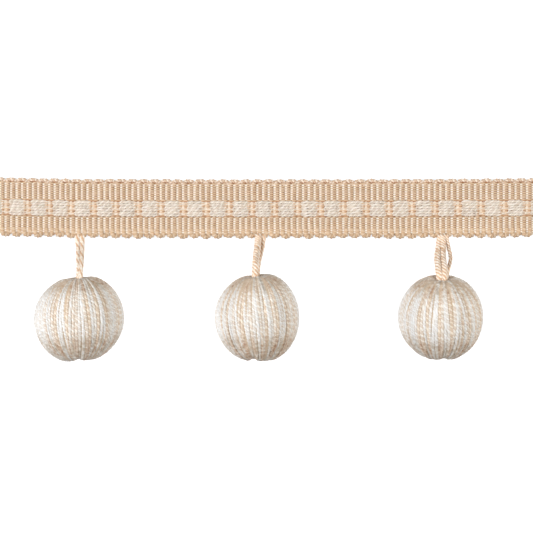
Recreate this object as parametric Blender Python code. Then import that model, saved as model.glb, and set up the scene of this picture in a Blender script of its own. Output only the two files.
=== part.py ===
"""Ball fringe trim: a ribbed woven heading with three thread-wound balls on twisted loops.

Metres, +Z up. The trim lies face up on the surface z = 0. +X runs along the heading, +Y from the
balls to the heading. The origin is under the middle of the whole trim.
"""

import math
from collections import namedtuple

import bmesh
import bpy
import numpy as np
from mathutils import Matrix, Vector

MM = 0.001

# Repeat: one ball every eight squares, one square every four ribs.
BALL_COUNT = 3
SQUARES_PER_BALL = 8
RIBS_PER_SQUARE = 4
RIB_PITCH = 1.815 * MM
RIB_COUNT = BALL_COUNT * SQUARES_PER_BALL * RIBS_PER_SQUARE
HEADING_LENGTH = RIB_COUNT * RIB_PITCH

# Heading: measured across from the middle line of its band of squares.
BAND_Y = 18.93 * MM
COLUMNS_PER_RIB = 2
SQUARE_COLUMNS = 6          # columns of points that a square takes of its eight
FIRST_SQUARE_COLUMN = 6
SELVAGE_LOOP_RIBS = 2       # the weft turns back once in every two ribs
UPPER_LOOP_START = 0        # columns before the first whole loop of each selvage
LOWER_LOOP_START = 2
HANGER_LOOP = 7             # the lower loop that runs out into the first hanger

# Each row of points along the heading: its distance from the band, its height, how far its
# ribs and its squares are raised, and how far its selvage loops stand out.
HeadingRow = namedtuple("HeadingRow", "offset height rib square loop")
HEADING_ROWS = [
    HeadingRow(8.95 * MM, 0.75 * MM, 0.00 * MM, 0.00 * MM, 0.60 * MM),
    HeadingRow(8.60 * MM, 1.35 * MM, 0.10 * MM, 0.00 * MM, 0.30 * MM),
    HeadingRow(8.10 * MM, 1.35 * MM, 0.40 * MM, 0.00 * MM, 0.00 * MM),
    HeadingRow(2.60 * MM, 1.35 * MM, 0.40 * MM, 0.00 * MM, 0.00 * MM),
    HeadingRow(2.20 * MM, 1.15 * MM, 0.10 * MM, 0.85 * MM, 0.00 * MM),
    HeadingRow(-2.20 * MM, 1.15 * MM, 0.10 * MM, 0.85 * MM, 0.00 * MM),
    HeadingRow(-2.60 * MM, 1.35 * MM, 0.40 * MM, 0.00 * MM, 0.00 * MM),
    HeadingRow(-7.65 * MM, 1.35 * MM, 0.40 * MM, 0.00 * MM, 0.00 * MM),
    HeadingRow(-8.10 * MM, 1.35 * MM, 0.10 * MM, 0.00 * MM, -0.40 * MM),
    HeadingRow(-8.45 * MM, 0.75 * MM, 0.00 * MM, 0.00 * MM, -0.75 * MM),
]

# The heading lies in a slight curve and its ribs are unevenly beaten up: how far a point of an
# even, straight heading moves along the trim and rises towards +Y.
LiePoint = namedtuple("LiePoint", "x shift rise")
HEADING_LIE = [
    LiePoint(-87.2 * MM, 0.00 * MM, 0.82 * MM),
    LiePoint(-81.9 * MM, -0.05 * MM, 0.60 * MM),
    LiePoint(-60.1 * MM, -1.00 * MM, 0.16 * MM),
    LiePoint(-23.8 * MM, -1.30 * MM, 0.03 * MM),
    LiePoint(5.2 * MM, -1.06 * MM, 0.00 * MM),
    LiePoint(56.0 * MM, -0.64 * MM, 0.14 * MM),
    LiePoint(85.1 * MM, -0.10 * MM, 0.36 * MM),
    LiePoint(87.2 * MM, 0.00 * MM, 0.38 * MM),
]

# Balls: wound from pole to pole, lying with the upper pole towards the heading. width is across
# the middle, and upper and lower are the round halves' heights before their poles are drawn in.
# lift tips the upper pole up from the surface and turn swings it in plan, both in degrees.
# shoulder and foot are how much fuller the winding is to the right of the upper and lower pole,
# cleft is how far beside the lower pole it parts, ridges are the main bands of turns, and phase
# sets where they start.
Ball = namedtuple(
    "Ball", "name x y width upper lower lift turn shoulder foot cleft ridges phase"
)
BALLS = [
    Ball(
        "ball_1", -59.20 * MM, -15.87 * MM, 28.2 * MM, 14.0 * MM, 14.5 * MM, 4, 0,
        0.45 * MM, 0.40 * MM, 0.0, 14, 0.4,
    ),
    Ball(
        "ball_2", -2.95 * MM, -15.58 * MM, 26.7 * MM, 14.5 * MM, 14.8 * MM, 6, 2,
        0.45 * MM, -0.20 * MM, -1.7 * MM, 13, 1.7,
    ),
    Ball(
        "ball_3", 55.00 * MM, -15.53 * MM, 26.9 * MM, 14.0 * MM, 14.2 * MM, 15, -2,
        0.15 * MM, -0.25 * MM, 1.6 * MM, 13, 2.9,
    ),
]
BALL_SEGMENTS = 56
BALL_RINGS = 18
RIDGE_HEIGHT = 0.12 * MM    # of the even ridges
SWELL_HEIGHT = 0.08 * MM    # of the wider, uneven swells between them
RIDGE_SLANT = math.radians(3)
FLAT_SPOT_DEPTH = 0.35 * MM
DIMPLE_DEPTH = 3.5 * MM
UPPER_DIMPLE_RADIUS = 3.4 * MM
LOWER_DIMPLE_RADIUS = 2.8 * MM
CLEFT_DEPTH = 1.0 * MM
CLEFT_WIDTH = 1.3 * MM
CLEFT_REACH = 8.0 * MM

# Hangers: twisted cords with two lobes, laid twist by twist. Each leg is followed at five even
# stations from the heading to the ball: its place to the side of the ball's middle, and how far
# it lies in front of the hanger's own line, both in millimetres.
CORD_THICK = 1.28 * MM      # of the section, over its lobes, before it is scaled to each leg
CORD_LOBE = 0.09 * MM
CORD_SIDES = 8
TWIST_LAY = 2.5             # the length of one twist, in thicknesses
STEPS_PER_TWIST = 6
HANGER_START_Y = 10.1 * MM
HANGER_START_Z = 0.95 * MM
HANGER_END_DEPTH = 1.55 * MM     # below the point that the round form would reach
HANGER_SWEEP = 17.0 * MM         # how far it keeps straight out of the heading and the ball
LENGTH_SAMPLES = 24

Leg = namedtuple("Leg", "name ball thick side front")
LEGS = [
    Leg(
        "hanger_1_left", 0, 1.28 * MM,
        (-1.36, -1.05, -0.58, -0.22, -0.28), (0.0, -0.42, -0.62, -0.72, -0.70),
    ),
    Leg(
        "hanger_1_right", 0, 1.28 * MM,
        (0.30, 0.38, 0.56, 0.62, 0.58), (0.0, 0.42, 0.62, 0.72, 0.70),
    ),
    Leg(
        "hanger_2_left", 1, 1.72 * MM,
        (0.06, -0.06, -0.48, -0.64, -0.70), (0.20, 0.52, 0.74, 0.78, 0.78),
    ),
    Leg(
        "hanger_2_right", 1, 1.28 * MM,
        (2.06, 1.52, 0.70, 0.44, 0.38), (0.0, -0.48, -0.74, -0.78, -0.78),
    ),
    Leg(
        "hanger_3_left", 2, 1.40 * MM,
        (0.45, -0.32, -0.92, -0.94, -0.87), (0.0, 0.0, 0.0, -0.05, -0.05),
    ),
    Leg(
        "hanger_3_middle", 2, 1.40 * MM,
        (1.58, 1.32, 1.02, 0.97, 0.87), (1.34, 0.64, 0.25, 0.15, 0.10),
    ),
    Leg(
        "hanger_3_right", 2, 1.10 * MM,
        (2.80, 3.22, 3.42, 2.48, 1.85), (0.20, 0.0, 0.0, -0.45, -1.20),
    ),
]


def clear_scene():
    for item in list(bpy.context.scene.objects):
        bpy.data.objects.remove(item)


def new_collection(name):
    collection = bpy.data.collections.new(name)
    bpy.context.scene.collection.children.link(collection)
    return collection


def yarn_material(name, colour):
    material = bpy.data.materials.new(name)
    material.use_nodes = True
    shader = material.node_tree.nodes["Principled BSDF"]
    shader.inputs["Base Color"].default_value = (*colour, 1.0)
    shader.inputs["Roughness"].default_value = 0.85
    shader.inputs["Metallic"].default_value = 0.0
    return material


def add_object(name, data, collection, material, parent):
    item = bpy.data.objects.new(name, data)
    collection.objects.link(item)
    item.parent = parent
    data.materials.append(material)
    return item


def lie(x, column):
    """Reads one column of the table of how the heading lies at this x."""
    places = [point.x for point in HEADING_LIE]
    return float(np.interp(x, places, [getattr(point, column) for point in HEADING_LIE]))


def selvage_loop(column, row):
    """How far the weft's turn stands out at this column: one round lobe in two ribs."""
    columns = COLUMNS_PER_RIB * SELVAGE_LOOP_RIBS
    start = UPPER_LOOP_START if row.loop > 0 else LOWER_LOOP_START
    number, place = divmod(column - start, columns)
    loops_per_ball = SQUARES_PER_BALL * RIBS_PER_SQUARE // SELVAGE_LOOP_RIBS
    if row.loop < 0 and number % loops_per_ball == HANGER_LOOP:
        return 0.0
    return row.loop * math.sin(math.pi * place / columns)


def heading_point(column, row):
    x = -HEADING_LENGTH / 2 + column * RIB_PITCH / COLUMNS_PER_RIB
    columns = COLUMNS_PER_RIB * RIBS_PER_SQUARE
    is_crest = column % COLUMNS_PER_RIB == 1
    is_square = (column - FIRST_SQUARE_COLUMN) % columns < SQUARE_COLUMNS
    height = row.height
    if is_crest:
        height += row.rib
    if is_square:
        height += row.square
    y = BAND_Y + lie(x, "rise") + row.offset + selvage_loop(column, row)
    return Vector((x + lie(x, "shift"), y, height))


def heading_mesh():
    """A grid of ribs and squares on top, let down to a flat back at z = 0."""
    columns = RIB_COUNT * COLUMNS_PER_RIB
    rows = len(HEADING_ROWS) - 1
    mesh = bpy.data.meshes.new("heading")
    form = bmesh.new()
    bmesh.ops.create_grid(form, x_segments=columns, y_segments=rows, size=0.5)
    for point in form.verts:
        column = round((point.co.x + 0.5) * columns)
        row = HEADING_ROWS[round((0.5 - point.co.y) * rows)]
        point.co = heading_point(column, row)
    rim = [edge for edge in form.edges if edge.is_boundary]
    walls = bmesh.ops.extrude_edge_only(form, edges=rim)
    for item in walls["geom"]:
        if isinstance(item, bmesh.types.BMVert):
            item.co.z = 0.0
    foot = [edge for edge in form.edges if edge.is_boundary]
    bmesh.ops.edgeloop_fill(form, edges=foot)
    bmesh.ops.recalc_face_normals(form, faces=form.faces)
    form.to_mesh(mesh)
    form.free()
    return mesh


def ball_point(ball, polar, around):
    """A point of the wound form about its own axis, +Z at the pole that the hanger enters."""
    radius = ball.width / 2 * math.sin(polar)
    fuller = math.cos(around) * math.sin(2 * polar)
    if polar < math.pi / 2:
        height = ball.upper * math.cos(polar) + ball.shoulder * fuller
        height -= DIMPLE_DEPTH * math.exp(-((radius / UPPER_DIMPLE_RADIUS) ** 2))
    else:
        beside = (radius * math.cos(around) - ball.cleft) / CLEFT_WIDTH
        cleft = math.exp(-(beside ** 2) - (radius / CLEFT_REACH) ** 2)
        height = ball.lower * math.cos(polar) - ball.foot * fuller + CLEFT_DEPTH * cleft
        height += DIMPLE_DEPTH * math.exp(-((radius / LOWER_DIMPLE_RADIUS) ** 2))
    turned = around + RIDGE_SLANT * math.cos(polar)
    ridge = math.cos(ball.ridges * turned + ball.phase)
    swell = math.cos((ball.ridges // 2 - 1) * turned + 2 * ball.phase)
    radius += math.sin(polar) * (RIDGE_HEIGHT * ridge + SWELL_HEIGHT * swell)
    return Vector((radius * math.cos(around), radius * math.sin(around), height))


def ball_turn(ball):
    """Lays the ball's axis along +Y, tips its pole up by lift and swings it by turn."""
    lay = Matrix.Rotation(math.radians(ball.lift - 90), 4, "X")
    return Matrix.Rotation(math.radians(ball.turn), 4, "Z") @ lay


def ball_height(ball):
    return ball.width / 2 - FLAT_SPOT_DEPTH


def ball_mesh(ball):
    mesh = bpy.data.meshes.new(ball.name)
    form = bmesh.new()
    bmesh.ops.create_uvsphere(form, u_segments=BALL_SEGMENTS, v_segments=BALL_RINGS, radius=1.0)
    for point in form.verts:
        polar = math.acos(max(-1.0, min(1.0, point.co.z)))
        around = math.atan2(point.co.y, point.co.x)
        point.co = ball_turn(ball) @ ball_point(ball, polar, around)
        point.co.z = max(point.co.z, -ball_height(ball))
    bmesh.ops.recalc_face_normals(form, faces=form.faces)
    form.to_mesh(mesh)
    form.free()
    mesh.shade_smooth()
    return mesh


def make_ball(ball, collection, material, parent):
    item = add_object(ball.name, ball_mesh(ball), collection, material, parent)
    item.location = (ball.x, ball.y, ball_height(ball))


def hanger_line(ball, part):
    """The hanger's own line: level out of the heading, up, and along the ball's axis into it."""
    axis = ball_turn(ball) @ Vector((0.0, 0.0, 1.0))
    centre = Vector((ball.x, ball.y, ball_height(ball)))
    start = Vector((0.0, HANGER_START_Y, HANGER_START_Z))
    end = centre + axis * (ball.upper - HANGER_END_DEPTH)
    end.x = 0.0
    leave = Vector((0.0, -HANGER_SWEEP, 0.0))
    arrive = Vector((0.0, -axis.y, -axis.z)) * HANGER_SWEEP
    square, cube = part ** 2, part ** 3
    place = (
        start * (2 * cube - 3 * square + 1)
        + leave * (cube - 2 * square + part)
        + end * (3 * square - 2 * cube)
        + arrive * (cube - square)
    )
    slope = (
        (start - end) * (6 * square - 6 * part)
        + leave * (3 * square - 4 * part + 1)
        + arrive * (3 * square - 2 * part)
    )
    front = Vector((0.0, slope.z, -slope.y)).normalized()
    return place, front


def at_station(values, part):
    """Reads a row of evenly spaced stations as one smooth curve through all of them."""
    place = part * (len(values) - 1)
    first = min(int(place), len(values) - 2)
    along = place - first
    before, low, high, after = (
        values[min(max(first + step, 0), len(values) - 1)] for step in (-1, 0, 1, 2)
    )
    slope_low, slope_high = (high - before) / 2, (after - low) / 2
    rise = high - low
    bend = 3 * rise - 2 * slope_low - slope_high
    return low + slope_low * along + bend * along ** 2 + (slope_low + slope_high - 2 * rise) * along ** 3


def leg_points(leg, count):
    ball = BALLS[leg.ball]
    points = []
    for step in range(count + 1):
        part = step / count
        place, front = hanger_line(ball, part)
        place += front * at_station(leg.front, part) * MM
        place.x = ball.x + at_station(leg.side, part) * MM
        points.append(place)
    return points


def path_length(points):
    return sum((after - before).length for before, after in zip(points, points[1:]))


def cord_profile(collection):
    """The section of a twisted cord: round, with two lobes."""
    curve = bpy.data.curves.new("cord_profile", "CURVE")
    curve.dimensions = "2D"
    spline = curve.splines.new("POLY")
    spline.points.add(CORD_SIDES - 1)
    for side, point in enumerate(spline.points):
        angle = -math.tau * side / CORD_SIDES
        radius = CORD_THICK / 2 - CORD_LOBE * (1 - math.cos(2 * angle))
        point.co = (radius * math.cos(angle), radius * math.sin(angle), 0.0, 1.0)
    spline.use_cyclic_u = True
    profile = bpy.data.objects.new("cord_profile", curve)
    profile.hide_render = True
    profile.display_type = "WIRE"
    collection.objects.link(profile)
    return profile


def make_leg(leg, profile, collection, material, parent):
    """A cord swept along its leg, its two lobes turning once in each twist, to the left."""
    length = path_length(leg_points(leg, LENGTH_SAMPLES))
    count = round(length / (TWIST_LAY * leg.thick) * STEPS_PER_TWIST)
    points = leg_points(leg, count)
    curve = bpy.data.curves.new(leg.name, "CURVE")
    curve.dimensions = "3D"
    curve.bevel_mode = "OBJECT"
    curve.bevel_object = profile
    curve.use_fill_caps = True
    spline = curve.splines.new("POLY")
    spline.points.add(count)
    for step, place in enumerate(points):
        spline.points[step].co = (*place, 1.0)
        spline.points[step].tilt = -math.tau * step / STEPS_PER_TWIST
        spline.points[step].radius = leg.thick / CORD_THICK
    add_object(leg.name, curve, collection, material, parent)


def main():
    clear_scene()
    trim = new_collection("ball_fringe_trim")
    guides = new_collection("guides")
    base = bpy.data.objects.new("trim_base", None)
    trim.objects.link(base)

    weave = yarn_material("heading_weave", (0.69, 0.52, 0.38))
    cord = yarn_material("hanger_cord", (0.76, 0.62, 0.48))
    wound = yarn_material("ball_yarn", (0.80, 0.72, 0.63))

    add_object("heading", heading_mesh(), trim, weave, base)
    for ball in BALLS:
        make_ball(ball, trim, wound, base)
    profile = cord_profile(guides)
    for leg in LEGS:
        make_leg(leg, profile, trim, cord, base)


main()
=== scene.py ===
"""Looks of the ball fringe trim: a woven heading with thread-wound balls on twisted cords.

Metres. +X runs along the heading, +Y from the balls to the heading, +Z up from the table.
"""

import math
import random
from collections import namedtuple

import bpy
from mathutils import Matrix, Vector, noise


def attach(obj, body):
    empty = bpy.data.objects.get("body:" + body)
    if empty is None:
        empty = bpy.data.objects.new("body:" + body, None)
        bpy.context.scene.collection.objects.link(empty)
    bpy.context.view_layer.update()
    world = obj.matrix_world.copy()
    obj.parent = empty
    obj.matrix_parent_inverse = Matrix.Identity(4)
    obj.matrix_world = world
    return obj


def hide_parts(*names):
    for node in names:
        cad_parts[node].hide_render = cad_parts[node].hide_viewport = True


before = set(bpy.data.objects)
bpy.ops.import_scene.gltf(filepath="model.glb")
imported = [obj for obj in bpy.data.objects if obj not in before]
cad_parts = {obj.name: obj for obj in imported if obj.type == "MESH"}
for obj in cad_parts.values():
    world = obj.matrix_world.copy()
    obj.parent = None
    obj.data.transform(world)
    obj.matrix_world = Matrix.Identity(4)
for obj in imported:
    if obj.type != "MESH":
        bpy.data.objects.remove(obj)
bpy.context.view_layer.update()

MM = 0.001


# ------------------------------------------------------------------ table, light and camera
# The trim lies slack on a white table and is seen from straight above with a long lens. A soft
# light stands at each side, the stronger on the left, so the balls darken towards their poles.
CAMERA_LENS = 200.0
CAMERA_SENSOR = 36.0
CAMERA_PLACE = (0.0, 0.0005, 0.9491)
TABLE_SIZE = 8.0
TABLE_DROP = 0.05 * MM
TABLE_WHITE = 0.30          # the rest of its white comes from the light table under it
TABLE_GLOW = 0.92

SoftLight = namedtuple("SoftLight", "name place size power colour")
SOFT_LIGHTS = [
    SoftLight("left_light", (-0.88, 0.06, 0.72), 0.50, 13.4, (0.98, 0.99, 1.015)),
    SoftLight("right_light", (0.80, 0.03, 0.80), 0.50, 9.7, (1.0, 0.985, 0.965)),
]

# Light from each direction of the room, against how steeply the direction goes up.
RoomBand = namedtuple("RoomBand", "upward light")
ROOM = [
    RoomBand(-0.08, 0.10),
    RoomBand(-0.03, 1.00),
    RoomBand(0.05, 1.00),
    RoomBand(0.14, 0.12),
]

bpy.ops.object.camera_add(location=CAMERA_PLACE, rotation=(0.0, 0.0, 0.0))
camera = bpy.context.object
camera.name = "camera"
camera.data.lens = CAMERA_LENS
camera.data.sensor_width = CAMERA_SENSOR
bpy.context.scene.camera = camera
bpy.context.scene.view_settings.view_transform = "Standard"

for lamp in SOFT_LIGHTS:
    bpy.ops.object.light_add(type="AREA", location=lamp.place)
    light = bpy.context.object
    light.name = lamp.name
    light.data.shape = "DISK"
    light.data.size = lamp.size
    light.data.energy = lamp.power
    light.data.color = lamp.colour
    light.rotation_euler = (-Vector(lamp.place)).to_track_quat("-Z", "Y").to_euler()

studio = bpy.data.worlds.new("studio")
studio.use_nodes = True
studio_nodes = studio.node_tree.nodes
studio_wires = studio.node_tree.links.new
studio_nodes["Background"].inputs["Color"].default_value = (1.0, 1.0, 1.0, 1.0)
direction = studio_nodes.new("ShaderNodeTexCoord")
upward = studio_nodes.new("ShaderNodeSeparateXYZ")
studio_wires(direction.outputs["Generated"], upward.inputs["Vector"])
room = studio_nodes.new("ShaderNodeFloatCurve")
room.inputs["Factor"].default_value = 1.0
bands = room.mapping.curves[0].points
for band in ROOM[1:-1]:
    bands.new((band.upward + 1) / 2, band.light)
bands[0].location = (0.0, ROOM[0].light)
bands[len(bands) - 1].location = (1.0, ROOM[-1].light)
bands.new((ROOM[0].upward + 1) / 2, ROOM[0].light)
bands.new((ROOM[-1].upward + 1) / 2, ROOM[-1].light)
for point in bands:
    point.handle_type = "VECTOR"
room.mapping.update()
halved = studio_nodes.new("ShaderNodeMath")
halved.operation = "MULTIPLY_ADD"
halved.inputs[1].default_value = 0.5
halved.inputs[2].default_value = 0.5
studio_wires(upward.outputs["Z"], halved.inputs[0])
studio_wires(halved.outputs["Value"], room.inputs["Value"])
studio_wires(room.outputs["Value"], studio_nodes["Background"].inputs["Strength"])
bpy.context.scene.world = studio

bpy.ops.mesh.primitive_plane_add(size=TABLE_SIZE, location=(0.0, 0.0, -TABLE_DROP))
table = bpy.context.object
table.name = "table_top"
paper = bpy.data.materials.new("table_paper")
paper.use_nodes = True
paper_shader = paper.node_tree.nodes["Principled BSDF"]
paper_shader.inputs["Base Color"].default_value = (TABLE_WHITE, TABLE_WHITE, TABLE_WHITE, 1.0)
paper_shader.inputs["Roughness"].default_value = 0.9
paper_shader.inputs["Specular IOR Level"].default_value = 0.1
paper_shader.inputs["Emission Color"].default_value = (1.0, 1.0, 1.0, 1.0)
paper_shader.inputs["Emission Strength"].default_value = TABLE_GLOW
table.data.materials.append(paper)
table.visible_diffuse = False


# ------------------------------------------------------------------ heading: ground cloth
# The heading is a narrow ribbed tape of cotton, woven on a trimmings loom. Its ground is tan
# weft, thick and thin by turns, which the fine warps below cover almost everywhere.
BAND_Y = 18.93 * MM
RIB_PITCH = 1.815 * MM
RIB_COUNT = 96
HEADING_START = -RIB_COUNT * RIB_PITCH / 2
RIBS_PER_SQUARE = 4
GROUND_LOW = 1.02 * MM
GROUND_RIB = 0.42 * MM
GROUND_FULLNESS = 0.7       # under 1, the ribs are broad and the furrows narrow
GROUND_SHARP_ANGLE = math.radians(40)
GROUND_TOP_EDGE = 8.45 * MM
GROUND_BOTTOM_EDGE = -7.90 * MM
GROUND_COLUMNS_PER_RIB = 6
GROUND_ROWS = 16
UNEVEN_STEP = 2.6 * MM
UNEVEN_SIZE = 0.07 * MM
UNEVEN_SEED = 5
noise.seed_set(UNEVEN_SEED)     # with no seed, noise_vector gives other values at each run

# How the slack heading lies: its points move along and across by this much at each place.
LiePoint = namedtuple("LiePoint", "x shift rise")
HEADING_LIE = [
    LiePoint(-87.2 * MM, 0.00 * MM, 0.82 * MM),
    LiePoint(-81.9 * MM, -0.05 * MM, 0.60 * MM),
    LiePoint(-60.1 * MM, -1.00 * MM, 0.16 * MM),
    LiePoint(-23.8 * MM, -1.30 * MM, 0.03 * MM),
    LiePoint(5.2 * MM, -1.06 * MM, 0.00 * MM),
    LiePoint(56.0 * MM, -0.64 * MM, 0.14 * MM),
    LiePoint(85.1 * MM, -0.10 * MM, 0.36 * MM),
    LiePoint(87.2 * MM, 0.00 * MM, 0.38 * MM),
]


def between(entries, value):
    """The two entries whose first values lie either side of this one, and its share between."""
    after = next(number for number in range(1, len(entries)) if entries[number][0] >= value)
    left, right = entries[after - 1], entries[after]
    return left, right, (value - left[0]) / (right[0] - left[0])


def lay(point):
    """Moves a point of an even, straight heading to where the real one lies, a little uneven."""
    x = min(max(point.x, HEADING_LIE[0].x), HEADING_LIE[-1].x)
    left, right, share = between(HEADING_LIE, x)
    shift = left.shift + (right.shift - left.shift) * share
    rise = left.rise + (right.rise - left.rise) * share
    uneven = noise.noise_vector(Vector((point.x, point.y, 0.0)) / UNEVEN_STEP) * UNEVEN_SIZE
    return Vector((point.x + shift + uneven.x, BAND_Y + point.y + rise + uneven.y, point.z))


def lay_piece(piece):
    for point in piece.data.vertices:
        point.co = lay(point.co)


SCREEN_GAMMA = 2.2
BLOTCH_SIZE = 1.3 * MM
FIBRE_SIZE = 0.12 * MM
FIBRE_RELIEF = 0.03 * MM
TURN_MIDDLE = 0.44          # of a turn's length from its upper end, the middle of the part with no painted shade
POLE_SHADE_SPAN = (0.12, 0.26)     # from this far off the middle the painted pole shade sets in, up to full at this far


def dye(red, green, blue):
    """A colour as it looks in daylight, from 0 to 255, as the shader's linear values."""
    return tuple((value / 255) ** SCREEN_GAMMA for value in (red, green, blue)) + (1.0,)


def feed(tree, socket, source):
    """Wires another node's output into a socket, or sets a plain value on it."""
    if isinstance(source, bpy.types.NodeSocket):
        tree.links.new(source, socket)
    else:
        socket.default_value = source


def mottling(tree, place, size, detail):
    """Soft patches of about this size, from 0 to 1."""
    patches = tree.nodes.new("ShaderNodeTexNoise")
    feed(tree, patches.inputs["Scale"], 1 / size)
    feed(tree, patches.inputs["Detail"], detail)
    feed(tree, patches.inputs["Vector"], place)
    return patches.outputs["Fac"]


def reckon(tree, operation, *terms):
    """The result of one operation on one or two terms."""
    node = tree.nodes.new("ShaderNodeMath")
    node.operation = operation
    for socket, term in zip(node.inputs, terms):
        feed(tree, socket, term)
    return node.outputs["Value"]


def span(tree, value, low, high, to_low=0.0, to_high=1.0, ease="LINEAR"):
    """A value carried from one span to another, and held at both its ends."""
    node = tree.nodes.new("ShaderNodeMapRange")
    node.interpolation_type = ease
    feed(tree, node.inputs["Value"], value)
    feed(tree, node.inputs["From Min"], low)
    feed(tree, node.inputs["From Max"], high)
    feed(tree, node.inputs["To Min"], to_low)
    feed(tree, node.inputs["To Max"], to_high)
    return node.outputs["Result"]


def dip(tree, share, first, second, way="MIX"):
    """Goes from the first colour to the second by a share, or multiplies the second in."""
    node = tree.nodes.new("ShaderNodeMix")
    node.data_type = "RGBA"
    node.blend_type = way
    feed(tree, node.inputs["Factor"], share)
    feed(tree, node.inputs["A"], first)
    feed(tree, node.inputs["B"], second)
    return node.outputs["Result"]


def yarn_material(
    name, first, second, groove=None, mottle=0.10, groove_shade_strength=0.7, even=0.4, satin=False, ends=None
):
    """Spun yarn. With a third colour it has two plies, of the two colours, and painted shade
    in the grooves between them, unevenly dark; without one it is a fluffy strand that goes
    from one colour to the other in patches. Satin yarn shines across its fibres. Towards the
    ends of a ball's turns, patches of the yarn are tinted with the ends' colour: painted shade,
    darker and tanner towards the poles."""
    material = bpy.data.materials.new(name)
    material.use_nodes = True
    tree = material.node_tree
    shader = tree.nodes["Principled BSDF"]

    place = tree.nodes.new("ShaderNodeTexCoord")
    blotch = mottling(tree, place.outputs["Object"], BLOTCH_SIZE, 3.0)
    fibres = mottling(tree, place.outputs["Object"], FIBRE_SIZE, 4.0)
    if groove:
        around = tree.nodes.new("ShaderNodeSeparateXYZ")
        feed(tree, around.inputs["Vector"], place.outputs["UV"])
        lobe = reckon(tree, "COSINE", reckon(tree, "MULTIPLY", around.outputs["Y"], math.tau))
        ply = span(tree, lobe, -0.25, 0.25)
        patchy = span(tree, blotch, 0.35, 0.65, even)
        colour = dip(tree, reckon(tree, "MULTIPLY", ply, patchy), first, second)
        # Painted shade in the grooves between the plies, unevenly dark.
        groove_shade_mask = span(tree, reckon(tree, "ABSOLUTE", lobe), 0.0, 0.55, groove_shade_strength, 0.0)
        colour = dip(tree, reckon(tree, "MULTIPLY", groove_shade_mask, patchy), colour, groove)
        # Painted shade towards the poles: the ends of a ball's turns go darker and tanner in
        # patches.
        if ends:
            off_middle = reckon(tree, "SUBTRACT", around.outputs["X"], TURN_MIDDLE)
            away = reckon(tree, "ABSOLUTE", off_middle)
            pole_shade_patches = span(tree, blotch, 0.38, 0.62, 0.22, 1.0)
            painted_pole_shade = span(tree, away, *POLE_SHADE_SPAN, 0.0, pole_shade_patches, "SMOOTHSTEP")
            colour = dip(tree, painted_pole_shade, colour, ends, "MULTIPLY")
    else:
        colour = dip(tree, span(tree, blotch, 0.35, 0.65), first, second)

    faded = tree.nodes.new("ShaderNodeHueSaturation")
    feed(tree, faded.inputs["Color"], colour)
    feed(tree, faded.inputs["Value"], span(tree, fibres, 0.3, 0.7, 1 - mottle, 1 + mottle))
    feed(tree, shader.inputs["Base Color"], faded.outputs["Color"])
    smooth, coarse = (0.48, 0.66) if satin else (0.62, 0.88)
    feed(tree, shader.inputs["Roughness"], span(tree, fibres, 0.0, 1.0, smooth, coarse))
    relief = tree.nodes.new("ShaderNodeBump")
    feed(tree, relief.inputs["Strength"], 0.5)
    feed(tree, relief.inputs["Distance"], FIBRE_RELIEF)
    feed(tree, relief.inputs["Height"], fibres)
    feed(tree, shader.inputs["Normal"], relief.outputs["Normal"])

    shader.inputs["Specular IOR Level"].default_value = 0.25
    if satin:
        across = tree.nodes.new("ShaderNodeTangent")
        across.direction_type = "UV_MAP"
        across.uv_map = "UVMap"
        feed(tree, shader.inputs["Tangent"], across.outputs["Tangent"])
        shader.inputs["Specular IOR Level"].default_value = 0.9
        shader.inputs["IOR"].default_value = 1.9
        shader.inputs["Anisotropic"].default_value = 0.6
        shader.inputs["Anisotropic Rotation"].default_value = 0.25
    shader.inputs["Sheen Weight"].default_value = 0.20
    shader.inputs["Sheen Roughness"].default_value = 0.45
    return material


# Its dark brown is partly the weft's own colour, partly painted shade between the warps.
ground_yarn_and_shade = yarn_material("ground_weft_and_shade", dye(138, 90, 54), dye(166, 118, 78), mottle=0.12)

bpy.ops.object.select_all(action="DESELECT")
bpy.ops.mesh.primitive_grid_add(
    x_subdivisions=RIB_COUNT * GROUND_COLUMNS_PER_RIB,
    y_subdivisions=GROUND_ROWS,
    size=1.0,
)
ground = bpy.context.object
ground.name = "heading_ground"
for point in ground.data.vertices:
    across = point.co.y + 0.5
    along = (point.co.x + 0.5) * RIB_COUNT
    point.co.x = HEADING_START + along * RIB_PITCH
    point.co.y = GROUND_BOTTOM_EDGE + across * (GROUND_TOP_EDGE - GROUND_BOTTOM_EDGE)
    rib = 0.5 - 0.5 * math.cos(math.tau * along)
    point.co.z = GROUND_LOW + GROUND_RIB * rib ** GROUND_FULLNESS
bpy.ops.object.mode_set(mode="EDIT")
bpy.ops.mesh.select_all(action="SELECT")
bpy.ops.mesh.region_to_loop()
bpy.ops.mesh.extrude_region_move()
bpy.ops.transform.resize(value=(1.0, 1.0, 0.0), center_override=(0.0, 0.0, 0.0))
bpy.ops.mesh.edge_face_add()
bpy.ops.mesh.select_all(action="SELECT")
bpy.ops.mesh.normals_make_consistent(inside=False)
bpy.ops.object.mode_set(mode="OBJECT")
bpy.ops.object.shade_smooth_by_angle(angle=GROUND_SHARP_ANGLE)
lay_piece(ground)
ground.data.materials.append(ground_yarn_and_shade)
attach(ground, "root")
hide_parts("heading")


# ------------------------------------------------------------------ heading: fine warps
# Fine cotton warps run the whole length. The tan ones float over each thick rib and dive under
# the thin one beside it, where the cream ones come up, so each rib has a beaded cream line.
WARP_PITCH = 0.73 * MM
WARP_WIDTH = 0.58 * MM
WARP_THICKNESS = 0.50 * MM
WARP_SIDES = 6
UPPER_FIELD = 2.78 * MM
UPPER_WARPS = 8
LOWER_FIELD = -7.97 * MM
LOWER_WARPS = 8
RIB_SHIFT = 0.035           # of a rib, either way
RIB_RISE = 0.05 * MM

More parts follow.
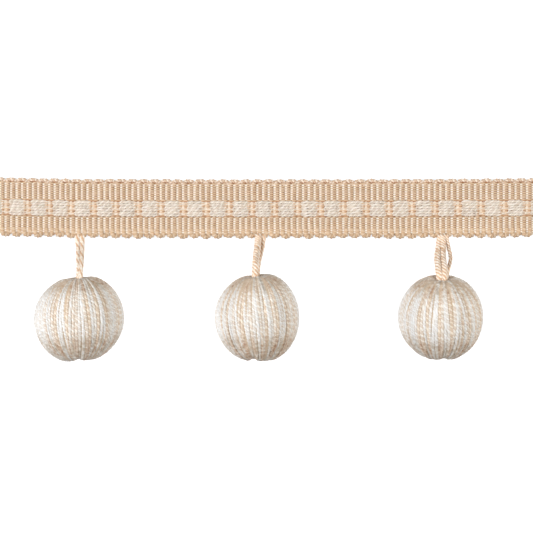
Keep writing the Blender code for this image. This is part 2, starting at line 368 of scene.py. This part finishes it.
WavePoint = namedtuple("WavePoint", "phase height size")
TAN_WAVE = [
    WavePoint(0.00, 0.97 * MM, 0.52),
    WavePoint(0.12, 1.34 * MM, 0.92),
    WavePoint(0.28, 1.56 * MM, 0.98),
    WavePoint(0.46, 1.62 * MM, 0.98),
    WavePoint(0.62, 1.50 * MM, 0.92),
    WavePoint(0.80, 1.16 * MM, 0.62),
]
CREAM_WAVE = [
    WavePoint(-0.05, 1.46 * MM, 0.86),
    WavePoint(0.06, 1.48 * MM, 0.88),
    WavePoint(0.20, 1.10 * MM, 0.58),
    WavePoint(0.74, 0.95 * MM, 0.50),
    WavePoint(0.87, 1.26 * MM, 0.66),
]


def yarn_section(name, sides, width, thickness, lobe=0.0):
    """The cross-section that a yarn is swept from, with two lobes where it has two plies."""
    curve = bpy.data.curves.new(name, "CURVE")
    curve.dimensions = "2D"
    spline = curve.splines.new("POLY")
    spline.points.add(sides - 1)
    for side, point in enumerate(spline.points):
        angle = -math.tau * side / sides
        swell = 1 + lobe * math.cos(2 * angle)
        point.co = (
            width / 2 * swell * math.cos(angle),
            thickness / 2 * swell * math.sin(angle),
            0.0,
            1.0,
        )
    spline.use_cyclic_u = True
    section = bpy.data.objects.new(name, curve)
    bpy.context.scene.collection.objects.link(section)
    return section


YarnPoint = namedtuple("YarnPoint", "place tilt size")
Run = namedtuple("Run", "points yarn")
WELD = 0.001 * MM


def sweep(name, section, runs, yarns):
    """Sweeps a section along runs of yarn and makes one closed, smooth mesh piece of them all."""
    curve = bpy.data.curves.new(name, "CURVE")
    curve.dimensions = "3D"
    curve.bevel_mode = "OBJECT"
    curve.bevel_object = section
    curve.use_fill_caps = True
    for run in runs:
        spline = curve.splines.new("POLY")
        spline.points.add(len(run.points) - 1)
        for point, along in zip(spline.points, run.points):
            point.co = (*along.place, 1.0)
            point.tilt = along.tilt
            point.radius = along.size
    for yarn in yarns:
        curve.materials.append(yarn)
    for spline, run in zip(curve.splines, runs):
        spline.material_index = run.yarn
    piece = bpy.data.objects.new(name, curve)
    bpy.context.scene.collection.objects.link(piece)
    bpy.ops.object.select_all(action="DESELECT")
    piece.select_set(True)
    bpy.context.view_layer.objects.active = piece
    bpy.ops.object.convert(target="MESH")
    bpy.ops.object.mode_set(mode="EDIT")
    bpy.ops.mesh.select_all(action="SELECT")
    bpy.ops.mesh.remove_doubles(threshold=WELD)
    bpy.ops.object.mode_set(mode="OBJECT")
    bpy.ops.object.shade_smooth()
    bpy.data.objects.remove(section)
    return piece


def repeat_piece(piece, count, step):
    """Repeats a piece with an array, its copies joined in the one mesh."""
    array = piece.modifiers.new("repeat", "ARRAY")
    array.use_relative_offset = False
    array.use_constant_offset = True
    array.constant_offset_displace = step
    array.count = count
    bpy.context.view_layer.objects.active = piece
    bpy.ops.object.modifier_apply(modifier="repeat")


def warp_run(wave):
    """One warp along the whole heading. No two ribs are quite alike in place and height."""
    uneven = random.Random(5)
    points = []
    for rib in range(RIB_COUNT):
        shift = uneven.uniform(-RIB_SHIFT, RIB_SHIFT)
        rise = uneven.uniform(-RIB_RISE, RIB_RISE)
        for entry in wave:
            x = HEADING_START + (rib + entry.phase + shift) * RIB_PITCH
            points.append(YarnPoint((x, 0.0, entry.height + rise), 0.0, entry.size))
    x = HEADING_START + RIB_COUNT * RIB_PITCH
    points.append(YarnPoint((x, 0.0, wave[0].height), 0.0, wave[0].size))
    return Run(points, 0)


def warp_field(name, wave, yarn, first, count):
    """A field of like warps side by side, laid on the heading's own slight curve."""
    section = yarn_section("warp_section", WARP_SIDES, WARP_WIDTH, WARP_THICKNESS)
    field = sweep(name, section, [warp_run(wave)], [yarn])
    for point in field.data.vertices:
        point.co.y += first
    repeat_piece(field, count, (0.0, WARP_PITCH, 0.0))
    lay_piece(field)
    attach(field, "root")
    return field


tan_warp = yarn_material("tan_warp", dye(206, 176, 143), dye(221, 197, 168), mottle=0.14)
cream_warp = yarn_material("cream_warp", dye(251, 246, 238), dye(245, 235, 221), mottle=0.06)
warps = [
    warp_field("tan_warps_upper", TAN_WAVE, tan_warp, UPPER_FIELD, UPPER_WARPS),
    warp_field("tan_warps_lower", TAN_WAVE, tan_warp, LOWER_FIELD, LOWER_WARPS),
    warp_field(
        "cream_warps_upper",
        CREAM_WAVE,
        cream_warp,
        UPPER_FIELD + WARP_PITCH / 2,
        UPPER_WARPS - 1,
    ),
    warp_field(
        "cream_warps_lower",
        CREAM_WAVE,
        cream_warp,
        LOWER_FIELD + WARP_PITCH / 2,
        LOWER_WARPS - 1,
    ),
]


# ------------------------------------------------------------------ heading: cream squares
# Six thick, soft cream yarns float over three ribs to make a square, and go down in pairs
# between two squares, where each pair shows as one thin rung over the ground.
SQUARE_YARNS = 6
SQUARE_YARN_PITCH = 0.84 * MM
SQUARE_YARN_WIDTH = 1.06 * MM
SQUARE_YARN_THICKNESS = 0.74 * MM
SQUARE_YARN_LOBE = 0.10
SQUARE_TWIST = 1.9 * MM
SQUARE_STEPS = 24
SQUARE_TWIST_SLACK = 1.5    # turns that the twist strays from an even one
SQUARE_TWIST_LAG = 2.2      # radians from one yarn's twist to the next one's
RUNG_SIZE = 0.42            # size of a yarn in the middle of a rung
OPEN_SIZE = 0.90            # size from which it lies at its own place in the square
RUNG_SPREAD = 0.35          # of that place's distance from its pair, in the rung
FIRST_SQUARE_RIB = 3
SQUARE_COUNT = RIB_COUNT // RIBS_PER_SQUARE

SquarePoint = namedtuple("SquarePoint", "ribs height size")
SQUARE_WAVE = [
    SquarePoint(-0.75, 1.40 * MM, 0.42),
    SquarePoint(-0.25, 1.30 * MM, 0.55),
    SquarePoint(-0.12, 1.38 * MM, 0.90),
    SquarePoint(0.30, 1.66 * MM, 1.00),
    SquarePoint(1.00, 1.74 * MM, 1.00),
    SquarePoint(1.70, 1.60 * MM, 1.00),
    SquarePoint(2.35, 1.36 * MM, 0.92),
    SquarePoint(2.65, 1.26 * MM, 0.55),
    SquarePoint(3.25, 1.40 * MM, 0.42),
]


def square_wave(ribs):
    """Height and size of a cream yarn at this many ribs from the square's first cream line."""
    ribs = (ribs - SQUARE_WAVE[0].ribs) % RIBS_PER_SQUARE + SQUARE_WAVE[0].ribs
    left, right, share = between(SQUARE_WAVE, ribs)
    share = share * share * (3 - 2 * share)
    height = left.height + (right.height - left.height) * share
    return height, left.size + (right.size - left.size) * share


# Its third colour is painted shade in the grooves between the plies.
square_yarn = yarn_material(
    "square_yarn", dye(235, 226, 215), dye(212, 195, 176), dye(184, 162, 138),
    mottle=0.14, groove_shade_strength=0.6,
)
square_runs = []
for yarn in range(SQUARE_YARNS):
    offset = (yarn - (SQUARE_YARNS - 1) / 2) * SQUARE_YARN_PITCH
    pair = (yarn // 2 - (SQUARE_YARNS // 2 - 1) / 2) * 2 * SQUARE_YARN_PITCH
    points = []
    steps = SQUARE_COUNT * SQUARE_STEPS
    for step in range(steps + 1):
        rib = RIB_COUNT * step / steps
        height, size = square_wave(rib - FIRST_SQUARE_RIB)
        spread = min(max((size - RUNG_SIZE) / (OPEN_SIZE - RUNG_SIZE), 0.0), 1.0)
        x = HEADING_START + rib * RIB_PITCH
        y = pair + (offset - pair) * (RUNG_SPREAD + (1 - RUNG_SPREAD) * spread)
        wander = noise.noise(Vector((x / SQUARE_TWIST / 3, yarn * 1.7, 0.5)))
        twists = x / SQUARE_TWIST + SQUARE_TWIST_SLACK * wander
        tilt = -math.tau * twists + yarn * SQUARE_TWIST_LAG
        points.append(YarnPoint((x, y, height), tilt, size))
    square_runs.append(Run(points, 0))
section = yarn_section(
    "square_section", 6, SQUARE_YARN_WIDTH, SQUARE_YARN_THICKNESS, SQUARE_YARN_LOBE
)
squares = sweep("cream_squares", section, square_runs, [square_yarn])
lay_piece(squares)
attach(squares, "root")


# ------------------------------------------------------------------ heading: ground in the gaps
# Between two squares the ground goes on a little lower: the same tan and cream warps, seen
# between the rungs. A thin dark cord along each gap's upper and lower edge is painted shade,
# the shadow line there.
GAP_START = 2.20
GAP_END = 3.90
GAP_WARPS = 6
GAP_FIRST = -2.00 * MM
GAP_DROP = 0.16 * MM
GAP_STEPS = 8
SHADE_CORD_OFFSETS = (2.44 * MM, -2.46 * MM)
SHADE_CORD_WIDTH = 0.30 * MM
SHADE_CORD_HEIGHT = 1.58 * MM

gap_cream = yarn_material("gap_cream", dye(236, 222, 204), dye(222, 202, 178), mottle=0.10)
gap_tan = yarn_material("gap_warp", dye(204, 170, 137), dye(222, 193, 162), mottle=0.14)
# The thin dark cord's colour is painted shade: the shadow line along each gap's edges.
gap_edge_shade = yarn_material("gap_edge_shade", dye(184, 138, 98), dye(202, 160, 122), mottle=0.12)


def wave_height(wave, phase):
    """Reads a warp's wave at a phase between two of its points."""
    ring = wave + [WavePoint(1.0, wave[0].height, wave[0].size)]
    left, right, share = between(ring, phase)
    return left.height + (right.height - left.height) * share


gap_stations = []
for step in range(GAP_STEPS + 1):
    rib = GAP_START + (GAP_END - GAP_START) * step / GAP_STEPS
    x = HEADING_START + (rib - RIBS_PER_SQUARE + FIRST_SQUARE_RIB) * RIB_PITCH
    gap_stations.append((rib, x))
gap_runs = []
for number in range(GAP_WARPS):
    for wave, yarn, offset in ((TAN_WAVE, 0, 0.0), (CREAM_WAVE, 1, WARP_PITCH / 2)):
        y = GAP_FIRST + number * WARP_PITCH + offset
        points = []
        for rib, x in gap_stations:
            height = wave_height(wave, rib % 1.0) - GAP_DROP
            points.append(YarnPoint((x, y, height), 0.0, 1.0))
        gap_runs.append(Run(points, yarn))
# Thin dark cords along the gap's upper and lower edge, painted shade.
for y in SHADE_CORD_OFFSETS:
    size = SHADE_CORD_WIDTH / WARP_WIDTH
    points = [YarnPoint((x, y, SHADE_CORD_HEIGHT), 0.0, size) for rib, x in gap_stations]
    gap_runs.append(Run(points, 2))
section = yarn_section("gap_section", WARP_SIDES, WARP_WIDTH, WARP_THICKNESS)
gaps = sweep("gap_warps", section, gap_runs, [gap_tan, gap_cream, gap_edge_shade])
repeat_piece(gaps, SQUARE_COUNT, (RIBS_PER_SQUARE * RIB_PITCH, 0.0, 0.0))
lay_piece(gaps)
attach(gaps, "root")


# ------------------------------------------------------------------ heading: selvages
# The thick tan weft is a twisted gimp that goes back and forth across the tape. Each turn
# round the edge joins two ribs: round and full below, flatter and one rib further on above.
GIMP_WIDTH = 1.56 * MM
GIMP_THICKNESS = 1.40 * MM
GIMP_LOBE = 0.13
GIMP_TWIST = 1.2 * MM
GIMP_STEPS = 30
GIMP_HEIGHT = 0.86 * MM
GIMP_REACHES = (0.76, 1.14)     # shortest and longest turn, of the selvage's reach
GIMP_LIFTS = (-0.06, 0.10)      # lowest and highest turn, in mm off the gimp's height

Selvage = namedtuple("Selvage", "name first_rib edge reach half root side size yarn")
SELVAGES = [
    Selvage("selvage_lower", 1, -7.66 * MM, 0.98 * MM, 1.02 * MM, 1.0 * MM, -1, 1.30, 0),
    Selvage("selvage_upper", 0, 8.50 * MM, 0.42 * MM, 1.30 * MM, 1.1 * MM, 1, 0.84, 1),
]

# Both edges are the same gimp: the upper one's lighter copy is painted light, for the highlights
# on its flatter loops. Each one's third colour is painted shade in its grooves.
gimp_yarns = [
    yarn_material(
        "gimp_full", dye(217, 194, 167), dye(198, 165, 132), dye(158, 120, 86),
        mottle=0.14, groove_shade_strength=0.6, even=0.8,
    ),
    yarn_material(
        "gimp_flat_painted_light", dye(234, 217, 199), dye(205, 176, 149), dye(150, 109, 76),
        mottle=0.14, groove_shade_strength=0.75, even=0.8,
    ),
]
lengths = random.Random(11)
for selvage in SELVAGES:
    runs = []
    count = (RIB_COUNT - selvage.first_rib) // 2
    for number in range(count):
        reach = selvage.reach * lengths.uniform(*GIMP_REACHES)
        phase = lengths.uniform(0.0, math.tau)
        lift = lengths.uniform(*GIMP_LIFTS) * MM
        middle = HEADING_START + (selvage.first_rib + 2 * number + 1) * RIB_PITCH
        length = 2 * selvage.root + math.pi * (selvage.half + reach) / 2
        points = []
        for step in range(GIMP_STEPS + 1):
            travel = length * step / GIMP_STEPS
            bend = min(max((travel - selvage.root) / (length - 2 * selvage.root), 0.0), 1.0)
            x = middle - selvage.half * math.cos(math.pi * bend)
            straight = min(travel, length - travel, selvage.root)
            out = reach * math.sin(math.pi * bend) + straight - selvage.root
            y = selvage.edge + selvage.side * out
            tilt = selvage.side * math.tau * travel / GIMP_TWIST + phase
            points.append(YarnPoint((x, y, GIMP_HEIGHT + lift), tilt, selvage.size))
        runs.append(Run(points, selvage.yarn))
    section = yarn_section("gimp_section", 8, GIMP_WIDTH, GIMP_THICKNESS, GIMP_LOBE)
    edge = sweep(selvage.name, section, runs, gimp_yarns)
    lay_piece(edge)
    for point in edge.data.vertices:
        point.co.z = max(point.co.z, 0.0)
    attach(edge, "root")


# ------------------------------------------------------------------ balls
# Each ball is a light turned mould wound with two-ply yarn from pole to pole, through its
# hole. Cream, white, tan and marled yarns follow each other in irregular stripes.
Ball = namedtuple(
    "Ball", "name x y width upper lower lift turn shoulder foot cleft ridges phase chart"
)
# Upper and lower reach from a ball's middle to its poles, lift and turn are degrees, shoulder,
# foot and cleft are what isn't even about its ends, and ridges and phase are its bands. Each
# letter of a chart is one turn of yarn. The middle one lies at the front, and the chart begins
# again at its end, round the back.
BALLS = [
    Ball(
        "ball_1", -59.20 * MM, -15.87 * MM, 28.2 * MM, 14.0 * MM, 14.5 * MM, 4, 0,
        0.45 * MM, 0.40 * MM, 0.0, 14, 0.4, "WCWCWCWCWCMWCMTWWWTCMMCWMTWCTWWTMCWCMTCMCWM",
    ),
    Ball(
        "ball_2", -2.95 * MM, -15.58 * MM, 26.7 * MM, 14.5 * MM, 14.8 * MM, 6, 2,
        0.45 * MM, -0.20 * MM, -1.7 * MM, 13, 1.7, "CWCWWCWTWCTWCMWMTWCMCWMCTWCMTWCWTMCMTCMCWCM",
    ),
    Ball(
        "ball_3", 55.00 * MM, -15.53 * MM, 26.9 * MM, 14.0 * MM, 14.2 * MM, 15, -2,
        0.15 * MM, -0.25 * MM, 1.6 * MM, 13, 2.9, "WCCMWMCWMCWWCTMWTCWWTMWCTMWCTWMTCWTCMMTCMCM",
    ),
]

# Each yarn's groove colour is painted shade between its plies, and its ends colour is painted
# shade, darker and tanner towards the poles.
BallYarn = namedtuple("BallYarn", "name first second groove ends")
BALL_YARNS = [
    BallYarn("white_yarn", (227, 226, 223), (218, 213, 207), (193, 178, 159), (202, 186, 162)),
    BallYarn("cream_yarn", (229, 225, 219), (213, 203, 190), (186, 164, 139), (208, 188, 160)),
    BallYarn("marled_yarn", (229, 221, 210), (208, 188, 165), (177, 150, 120), (202, 169, 132)),
    BallYarn("tan_yarn", (226, 211, 191), (201, 173, 142), (170, 137, 103), (193, 154, 114)),
]
YARN_LETTERS = "WCMT"       # a chart's letters for white, cream, marled and tan

RIDGE_HEIGHT = 0.12 * MM
SWELL_HEIGHT = 0.08 * MM
RIDGE_SLANT = math.radians(3)
FLAT_SPOT_DEPTH = 0.35 * MM
UPPER_DIMPLE_DEPTH = 2.1 * MM
LOWER_DIMPLE_DEPTH = 3.5 * MM
DIMPLE_RADIUS = 2.8 * MM
CLEFT_DEPTH = 1.0 * MM
CLEFT_WIDTH = 1.3 * MM
CLEFT_REACH = 8.0 * MM
PINCHES = 17
PINCH_DEPTH = 0.45 * MM
PINCH_SHARPNESS = 5
PINCH_RISE = 1.3            # over 1, the pinches keep nearer the lower pole
CORE_DEPTH = 0.34 * MM
CORE_SEGMENTS = 8 * PINCHES
CORE_RINGS = 24

TURNS = 85
TURN_STEPS = 132
TURN_START = 0.07           # radians from the pole
TURN_LIFTS = (-0.10, 0.06)  # deepest and highest turn, in mm off the wound form
TURN_WANDER = 0.013         # radians that a turn strays from its line, either way
TURN_LEAN = 0.06            # radians that it leans more or less than the ridges, either way
FRONT = -math.pi / 2
YARN_WIDTH = 1.20 * MM
YARN_LOBE = 0.15
YARN_SIDES = 8
YARN_TIP_SIZE = 0.25        # of its width, where a turn goes into the hole
YARN_TAPER = 0.45
TWISTS_PER_TURN = 27
TWIST_RATES = (0.75, 1.15)  # loosest and tightest turn
WHITE_TWIST_RATE = 0.75
TWIST_SLACK = 1.2           # turns that the twist strays from an even one
TWIST_WANDER = 2.5
BURIED = 0.75 * MM          # how deep the deepest turns go under the others towards a pole
BURY_POWER = 1.5
FIRST_SEED = 40


def ball_point(ball, polar, around):
    """A point of the wound form about its own axis, +Z at the pole that the hanger enters."""
    radius = ball.width / 2 * math.sin(polar)
    uneven = math.cos(around) * math.sin(2 * polar)
    dimple = math.exp(-((radius / DIMPLE_RADIUS) ** 2))
    if polar < math.pi / 2:
        height = ball.upper * math.cos(polar) + ball.shoulder * uneven
        height -= UPPER_DIMPLE_DEPTH * dimple
    else:
        beside = (radius * math.cos(around) - ball.cleft) / CLEFT_WIDTH
        cleft = math.exp(-(beside ** 2) - (radius / CLEFT_REACH) ** 2)
        height = ball.lower * math.cos(polar) - ball.foot * uneven
        height += LOWER_DIMPLE_DEPTH * dimple + CLEFT_DEPTH * cleft
    turned = around + RIDGE_SLANT * math.cos(polar)
    pinch = (0.5 + 0.5 * math.cos(PINCHES * turned + ball.phase)) ** PINCH_SHARPNESS
    below = max(-math.cos(polar), 0.0) ** PINCH_RISE
    radius -= PINCH_DEPTH * pinch * below * math.sin(polar)
    ridge = math.cos(ball.ridges * turned + ball.phase)
    swell = math.cos((ball.ridges // 2 - 1) * turned + 2 * ball.phase)
    radius += math.sin(polar) * (RIDGE_HEIGHT * ridge + SWELL_HEIGHT * swell)
    return Vector((radius * math.cos(around), radius * math.sin(around), height))


def ball_turn(ball):
    """Lays the ball's axis along +Y, tips its pole up by lift and swings it by turn."""
    laid = Matrix.Rotation(math.radians(ball.lift - 90), 4, "X")
    return Matrix.Rotation(math.radians(ball.turn), 4, "Z") @ laid


def ball_centre(ball):
    return Vector((ball.x, ball.y, ball.width / 2 - FLAT_SPOT_DEPTH))


def turn_run(ball, index, slack):
    """One turn of yarn from the upper pole down to the lower one, a little out of line."""
    base = FRONT + math.tau * index / TURNS
    lift = slack.uniform(*TURN_LIFTS) * MM
    wander = slack.uniform(-TURN_WANDER, TURN_WANDER)
    lean = RIDGE_SLANT + slack.uniform(-TURN_LEAN, TURN_LEAN)
    phase = slack.uniform(0.0, math.tau)
    letter = ball.chart[(index + len(ball.chart) // 2) % len(ball.chart)]
    twists = TWISTS_PER_TURN * slack.uniform(*TWIST_RATES)
    if letter == "W":
        twists *= WHITE_TWIST_RATE
    bury_upper = slack.random() * BURIED
    bury_lower = slack.random() * BURIED
    points = []
    for step in range(TURN_STEPS + 1):
        polar = TURN_START + (math.pi - 2 * TURN_START) * step / TURN_STEPS
        around = base - lean * math.cos(polar) + wander * math.sin(3 * polar + phase)
        place = ball_point(ball, polar, around)
        spread = math.sin(polar)
        bury = bury_upper if polar < math.pi / 2 else bury_lower
        inward = YARN_WIDTH / 2 - lift + bury * (1 - spread) ** BURY_POWER
        place -= place.normalized() * inward
        stray = TWIST_SLACK * noise.noise(Vector((TWIST_WANDER * polar, index, phase)))
        tilt = phase - math.tau * (twists * step / TURN_STEPS + stray)
        size = max(spread, 0.0) ** YARN_TAPER * (1 - YARN_TIP_SIZE) + YARN_TIP_SIZE
        points.append(YarnPoint(place, tilt, size))
    return Run(points, YARN_LETTERS.index(letter))


ball_yarns = [
    yarn_material(
        yarn.name, dye(*yarn.first), dye(*yarn.second), dye(*yarn.groove),
        even=0.55, satin=True, ends=dye(*yarn.ends),
    )
    for yarn in BALL_YARNS
]
# The core under the turns is darker than the yarns: partly the yarn wound beneath, partly painted
# shade in the gaps between the turns.
core_yarn_and_shade = yarn_material("ball_core_and_shade", dye(208, 188, 165), dye(194, 170, 143), mottle=0.15)

for number, ball in enumerate(BALLS):
    slack = random.Random(FIRST_SEED + number)
    runs = [turn_run(ball, index, slack) for index in range(-(TURNS // 2), TURNS - TURNS // 2)]
    section = yarn_section("ball_yarn_section", YARN_SIDES, YARN_WIDTH, YARN_WIDTH, YARN_LOBE)
    winding = sweep(ball.name + "_winding", section, runs, ball_yarns)
    bpy.ops.mesh.primitive_uv_sphere_add(
        segments=CORE_SEGMENTS, ring_count=CORE_RINGS, radius=1.0
    )
    core = bpy.context.object
    core.name = ball.name + "_core"
    for point in core.data.vertices:
        polar = math.acos(max(-1.0, min(1.0, point.co.z)))
        around = math.atan2(point.co.y, point.co.x)
        place = ball_point(ball, polar, around)
        point.co = place - place.normalized() * CORE_DEPTH
    core.data.materials.append(core_yarn_and_shade)
    bpy.ops.object.shade_smooth()
    turn, centre = ball_turn(ball), ball_centre(ball)
    for piece in (winding, core):
        for point in piece.data.vertices:
            point.co = turn @ point.co + centre
            point.co.z = max(point.co.z, 0.0)
        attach(piece, "root")
    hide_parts(ball.name)


# ------------------------------------------------------------------ hangers
# Each ball hangs on a loop of satin cord, twisted of light and warm plies, that comes out of the
# lower selvage and goes into the ball's hole. Two legs show, and on the third ball three.
CORD_FULLNESS = 1.02        # across the outer edges of its plies, of the cord's thickness
PLY_OFFSET_SHARE = {6: 0.34, 8: 0.365}      # of the cord's thickness, by its number of plies
# The cord's dark heart between its plies, of the cord's thickness: its colour is painted shade
# for the valleys there.
SHADE_HEART_SHARE = {6: 0.60, 8: 0.68}
ROOT_LENGTH = 0.5 * MM
ROOT_HEIGHT = 0.80 * MM
ROOT_TAPER = 0.55
PLY_SIDES = 8
PLY_LOBE = 0.08
PLY_WANDER = 1.9 * MM
PLY_SLACK = 0.5             # radians that a ply strays from its even place
PLY_SWELL = 0.28
PLY_REACH = (1.0, 0.93)     # the light plies stand a little proud of the warm ones
PLY_STEP = 0.25 * MM
PLY_TWIST = 1.3 * MM
HANGER_START_Y = 10.35 * MM
HANGER_START_Z = 1.25 * MM
HANGER_END_DEPTH = 2.2 * MM
HANGER_SWEEP = 17.0 * MM
LENGTH_SAMPLES = 24

# A leg strays from its hanger's own line by side and front, in mm at five even stations, and
# one ply in every warm_every is a warm one.
Leg = namedtuple("Leg", "name ball plies warm_every thick twist side front")
LEGS = [
    Leg(
        "hanger_1_left", 0, 6, 3, 1.54 * MM, 7.8 * MM,
        (-1.42, -1.04, -0.62, -0.26, -0.30), (0.0, -0.10, -0.20, -0.25, -0.30),
    ),
    Leg(
        "hanger_1_right", 0, 6, 3, 1.54 * MM, 8.2 * MM,
        (0.24, 0.38, 0.50, 0.54, 0.50), (0.0, 0.05, 0.10, 0.10, 0.10),
    ),
    Leg(
        "hanger_2_left", 1, 8, 2, 2.24 * MM, 5.0 * MM,
        (0.30, 0.06, -0.30, -0.52, -0.60), (0.40, 0.60, 0.75, 0.85, 0.85),
    ),
    Leg(
        "hanger_2_right", 1, 6, 2, 1.56 * MM, 4.8 * MM,
        (2.04, 1.54, 0.66, 0.24, 0.14), (0.0, -0.60, -0.90, -0.95, -0.95),
    ),
    Leg(
        "hanger_3_left", 2, 8, 2, 2.26 * MM, 5.8 * MM,
        (0.60, 0.0, -0.73, -0.73, -0.40), (0.0, 0.0, 0.0, -0.10, -0.20),
    ),
    Leg(
        "hanger_3_middle", 2, 8, 2, 2.04 * MM, 5.6 * MM,
        (1.40, 1.36, 1.12, 1.14, 1.04), (0.60, 0.40, 0.25, 0.20, 0.25),
    ),
    Leg(
        "hanger_3_right", 2, 6, 2, 1.36 * MM, 4.4 * MM,
        (2.50, 3.10, 3.42, 2.26, 1.50), (0.50, 0.30, 0.0, -0.60, -1.20),
    ),
]


def hanger_line(ball, part):
    """The hanger's own line: level out of the heading, up, and along the ball's axis into it."""
    axis = ball_turn(ball) @ Vector((0.0, 0.0, 1.0))
    start = Vector((0.0, HANGER_START_Y, HANGER_START_Z))
    end = ball_centre(ball) + axis * (ball.upper - HANGER_END_DEPTH)
    end.x = 0.0
    leave = Vector((0.0, -HANGER_SWEEP, 0.0))
    arrive = Vector((0.0, -axis.y, -axis.z)) * HANGER_SWEEP
    square, cube = part ** 2, part ** 3
    place = (
        start * (2 * cube - 3 * square + 1)
        + leave * (cube - 2 * square + part)
        + end * (3 * square - 2 * cube)
        + arrive * (cube - square)
    )
    slope = (
        (start - end) * (6 * square - 6 * part)
        + leave * (3 * square - 4 * part + 1)
        + arrive * (3 * square - 2 * part)
    )
    return place, Vector((0.0, slope.z, -slope.y)).normalized()


def at_station(values, part):
    """Reads a row of evenly spaced stations as one smooth curve through all of them."""
    place = part * (len(values) - 1)
    first = min(max(int(place), 0), len(values) - 2)
    along = place - first
    before, low, high, after = (
        values[min(max(first + step, 0), len(values) - 1)] for step in (-1, 0, 1, 2)
    )
    slope_low, slope_high = (high - before) / 2, (after - low) / 2
    rise = high - low
    bend = 3 * rise - 2 * slope_low - slope_high
    turn_back = slope_low + slope_high - 2 * rise
    return low + slope_low * along + bend * along ** 2 + turn_back * along ** 3


def leg_points(leg, count):
    ball = BALLS[leg.ball]
    points = []
    for step in range(count + 1):
        part = step / count
        place, front = hanger_line(ball, part)
        place += front * at_station(leg.front, part) * MM
        place.x = ball.x + at_station(leg.side, part) * MM
        points.append(place)
    return points


def ply_run(leg, line, root_steps, start, yarn):
    """One ply that winds about the cord's own line, drawn in tight at its root."""
    reach = PLY_OFFSET_SHARE[leg.plies] * leg.thick * PLY_REACH[yarn]
    points = []
    for step, place in enumerate(line):
        drawn = 1 - ROOT_TAPER * max(1 - step / root_steps, 0.0)
        ahead = line[min(step + 1, len(line) - 1)] - line[max(step - 1, 0)]
        across = ahead.cross(Vector((1.0, 0.0, 0.0))).normalized()
        beside = ahead.cross(across).normalized()
        loose = noise.noise(Vector((step * PLY_STEP / PLY_WANDER, 3 * start, leg.twist)))
        angle = start + math.tau * step * PLY_STEP / leg.twist + PLY_SLACK * loose
        offset = across * math.cos(angle) - beside * math.sin(angle)
        tilt = -math.tau * step * PLY_STEP / PLY_TWIST
        swollen = drawn * (1 + PLY_SWELL * loose)
        points.append(YarnPoint(place + offset * reach * drawn, tilt, swollen))
    return Run(points, yarn)


# Each ply's third colour is painted shade in the grooves of its own twist.
ply_yarns = [
    yarn_material(
        "light_ply", dye(250, 241, 228), dye(243, 222, 196), dye(206, 164, 119), satin=True
    ),
    yarn_material(
        "warm_ply", dye(220, 178, 134), dye(210, 162, 115), dye(183, 131, 86), satin=True
    ),
    # The dark heart's colour is painted shade, for the valleys between the plies.
    yarn_material(
        "cord_heart_shade", dye(196, 154, 114), dye(176, 132, 92), mottle=0.12
    ),
]
for leg in LEGS:
    rough_line = leg_points(leg, LENGTH_SAMPLES)
    length = sum((after - before).length for before, after in zip(rough_line, rough_line[1:]))
    line = leg_points(leg, round(length / PLY_STEP))
    root_steps = round(ROOT_LENGTH / PLY_STEP)
    root_step = Vector((0.0, ROOT_LENGTH, ROOT_HEIGHT - line[0].z)) / root_steps
    line = [line[0] + root_step * step for step in range(root_steps, 0, -1)] + line
    runs = []
    for number in range(leg.plies):
        yarn = 1 if (number + 1) % leg.warm_every == 0 else 0
        runs.append(ply_run(leg, line, root_steps, math.tau * number / leg.plies, yarn))
    ply_width = (CORD_FULLNESS - 2 * PLY_OFFSET_SHARE[leg.plies]) * leg.thick
    shade_heart_size = SHADE_HEART_SHARE[leg.plies] * leg.thick / ply_width
    runs.append(Run([YarnPoint(place, 0.0, shade_heart_size) for place in line[root_steps:]], 2))
    section = yarn_section("ply_section", PLY_SIDES, ply_width, ply_width, PLY_LOBE)
    cord = sweep(leg.name + "_cord", section, runs, ply_yarns)
    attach(cord, "root")
    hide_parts(leg.name)
